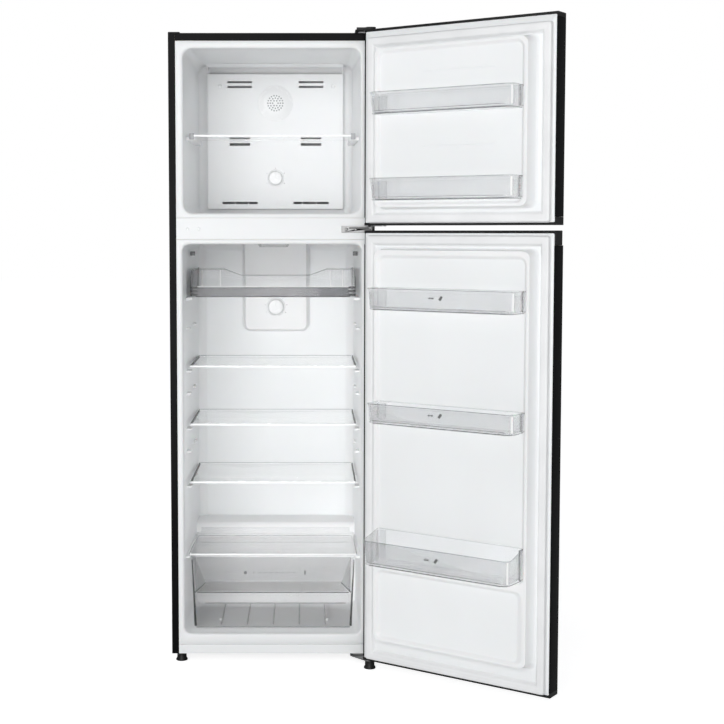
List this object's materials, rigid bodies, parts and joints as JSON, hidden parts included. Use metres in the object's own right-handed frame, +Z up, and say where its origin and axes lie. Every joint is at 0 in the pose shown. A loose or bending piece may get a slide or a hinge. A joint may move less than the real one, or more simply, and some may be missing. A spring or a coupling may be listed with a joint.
{
  "type": "top freezer refrigerator",
  "caption": "Tall two-door refrigerator with a top freezer, doors open, with glass shelves, a chiller tray, a crisper drawer and clear door bins.",
  "frame": {"origin": "on the floor, at the middle of the whole object's box in plan, with both doors open at rest", "axes": "+X to the right of someone facing the open cabinet, +Y into the cabinet, +Z up"},
  "size_m": [0.9958, 0.9356, 1.715],
  "materials": {
    "black_steel": "gloss",
    "galvanised": "satin",
    "bright_steel": "satin",
    "aluminium": "satin",
    "white_liner": "satin",
    "black_plastic": "matte",
    "white_rubber": "matte",
    "clear_plastic": "gloss",
    "smoky_plastic": "gloss",
    "shelf_glass": "gloss",
    "grey_trim": "satin",
    "foam": "matte"
  },
  "bodies": {
    "cabinet": {"side_panel_left": "black_steel", "side_panel_right": "black_steel", "top_panel": "black_steel", "back_panel": "galvanised", "base_plate": "galvanised", "bay_partition": "galvanised", "cabinet_foam": "foam", "freezer_liner": "white_liner", "fridge_liner": "white_liner", "mullion_cover": "white_liner", "kick_plate": "white_liner", "evaporator_cover": "white_liner", "fan_grille": "white_liner", "fan_motor": "black_plastic", "evaporator_coil": "aluminium", "duct_cover": "white_liner", "lamp_cover": "clear_plastic", "compressor": "black_steel", "evaporation_tray": "black_plastic", "bay_cover": "black_plastic", "top_hinge": "galvanised", "top_hinge_cover": "black_plastic", "mid_hinge": "bright_steel", "bottom_hinge": "bright_steel"},
    "evaporator_fan": {"evaporator_fan": "white_liner"},
    "freezer_knob": {"freezer_knob": "white_liner"},
    "freezer_shelf": {"freezer_shelf": "shelf_glass", "freezer_shelf_trim": "grey_trim"},
    "fridge_knob": {"fridge_knob": "white_liner"},
    "chiller_tray": {"chiller_tray": "smoky_plastic"},
    "shelf_1": {"glass_shelf_1": "shelf_glass", "shelf_trim_1": "grey_trim"},
    "shelf_2": {"glass_shelf_2": "shelf_glass", "shelf_trim_2": "grey_trim"},
    "shelf_3": {"glass_shelf_3": "shelf_glass", "shelf_trim_3": "grey_trim"},
    "crisper_cover": {"crisper_cover": "clear_plastic"},
    "crisper_drawer": {"crisper_drawer": "smoky_plastic"},
    "front_foot_left": {"front_foot_left": "black_plastic"},
    "front_foot_right": {"front_foot_right": "black_plastic"},
    "rear_roller_left": {"rear_roller_left": "black_plastic"},
    "rear_roller_right": {"rear_roller_right": "black_plastic"},
    "freezer_door": {"freezer_door_skin": "black_steel", "freezer_door_bottom_cap": "black_plastic", "freezer_door_top_cap": "black_plastic", "freezer_door_foam": "foam", "freezer_door_liner": "white_liner", "freezer_door_gasket": "white_rubber", "freezer_door_stop": "galvanised"},
    "freezer_door_bin_upper": {"freezer_door_bin_upper": "clear_plastic"},
    "freezer_door_bin_lower": {"freezer_door_bin_lower": "clear_plastic"},
    "fridge_door": {"fridge_door_skin": "black_steel", "fridge_door_handle_cap": "black_plastic", "fridge_door_bottom_cap": "black_plastic", "fridge_door_foam": "foam", "fridge_door_liner": "white_liner", "fridge_door_gasket": "white_rubber"},
    "fridge_door_bin_upper": {"fridge_door_bin_upper": "clear_plastic"},
    "fridge_door_bin_middle": {"fridge_door_bin_middle": "clear_plastic"},
    "bottle_bin": {"bottle_bin": "clear_plastic"}
  },
  "joints": [
    {"name": "freezer_door_hinge", "type": "hinge", "parent": "cabinet", "child": "freezer_door", "pos_m": [0.04283, -0.09692, 1.451], "axis": [0, 0, 1], "range_deg": [-145, 0]},
    {"name": "fridge_door_hinge", "type": "hinge", "parent": "cabinet", "child": "fridge_door", "pos_m": [0.04283, -0.09692, 0.605], "axis": [0, 0, 1], "range_deg": [-145, 0]},
    {"name": "freezer_shelf_slide", "type": "slide", "parent": "cabinet", "child": "freezer_shelf", "axis": [0, -1, 0], "range_m": [0, 0.24]},
    {"name": "shelf_1_slide", "type": "slide", "parent": "cabinet", "child": "shelf_1", "axis": [0, -1, 0], "range_m": [0, 0.3]},
    {"name": "shelf_2_slide", "type": "slide", "parent": "cabinet", "child": "shelf_2", "axis": [0, -1, 0], "range_m": [0, 0.3]},
    {"name": "shelf_3_slide", "type": "slide", "parent": "cabinet", "child": "shelf_3", "axis": [0, -1, 0], "range_m": [0, 0.3]},
    {"name": "chiller_tray_slide", "type": "slide", "parent": "cabinet", "child": "chiller_tray", "axis": [0, -1, 0], "range_m": [0, 0.26]},
    {"name": "crisper_cover_slide", "type": "slide", "parent": "cabinet", "child": "crisper_cover", "axis": [0, -1, 0], "range_m": [0, 0.28]},
    {"name": "crisper_drawer_slide", "type": "slide", "parent": "cabinet", "child": "crisper_drawer", "axis": [0, -1, 0], "range_m": [0, 0.25]},
    {"name": "freezer_door_bin_upper_lift", "type": "slide", "parent": "freezer_door", "child": "freezer_door_bin_upper", "axis": [0, 0, 1], "range_m": [0, 0.035]},
    {"name": "freezer_door_bin_lower_lift", "type": "slide", "parent": "freezer_door", "child": "freezer_door_bin_lower", "axis": [0, 0, 1], "range_m": [0, 0.035]},
    {"name": "fridge_door_bin_upper_lift", "type": "slide", "parent": "fridge_door", "child": "fridge_door_bin_upper", "axis": [0, 0, 1], "range_m": [0, 0.035]},
    {"name": "fridge_door_bin_middle_lift", "type": "slide", "parent": "fridge_door", "child": "fridge_door_bin_middle", "axis": [0, 0, 1], "range_m": [0, 0.035]},
    {"name": "bottle_bin_lift", "type": "slide", "parent": "fridge_door", "child": "bottle_bin", "axis": [0, 0, 1], "range_m": [0, 0.035]},
    {"name": "freezer_knob_turn", "type": "hinge", "parent": "cabinet", "child": "freezer_knob", "pos_m": [-0.22287, 0.33278, 1.337], "axis": [0, 1, 0], "range_deg": [-120, 120]},
    {"name": "fridge_knob_turn", "type": "hinge", "parent": "cabinet", "child": "fridge_knob", "pos_m": [-0.22287, 0.35178, 0.9555], "axis": [0, 1, 0], "range_deg": [-120, 120]},
    {"name": "evaporator_fan_spin", "type": "hinge", "parent": "cabinet", "child": "evaporator_fan", "pos_m": [-0.22287, 0.37278, 1.556], "axis": [0, 1, 0], "continuous": true},
    {"name": "front_foot_left_turn", "type": "hinge", "parent": "cabinet", "child": "front_foot_left", "pos_m": [-0.47487, -0.02222, 0.01], "axis": [0, 0, 1], "continuous": true},
    {"name": "front_foot_right_turn", "type": "hinge", "parent": "cabinet", "child": "front_foot_right", "pos_m": [0.04083, -0.09692, 0.01], "axis": [0, 0, 1], "continuous": true},
    {"name": "rear_roller_left_spin", "type": "hinge", "parent": "cabinet", "child": "rear_roller_left", "pos_m": [-0.45787, 0.42778, 0.013], "axis": [1, 0, 0], "continuous": true},
    {"name": "rear_roller_right_spin", "type": "hinge", "parent": "cabinet", "child": "rear_roller_right", "pos_m": [0.01213, 0.42778, 0.013], "axis": [1, 0, 0], "continuous": true}
  ]
}
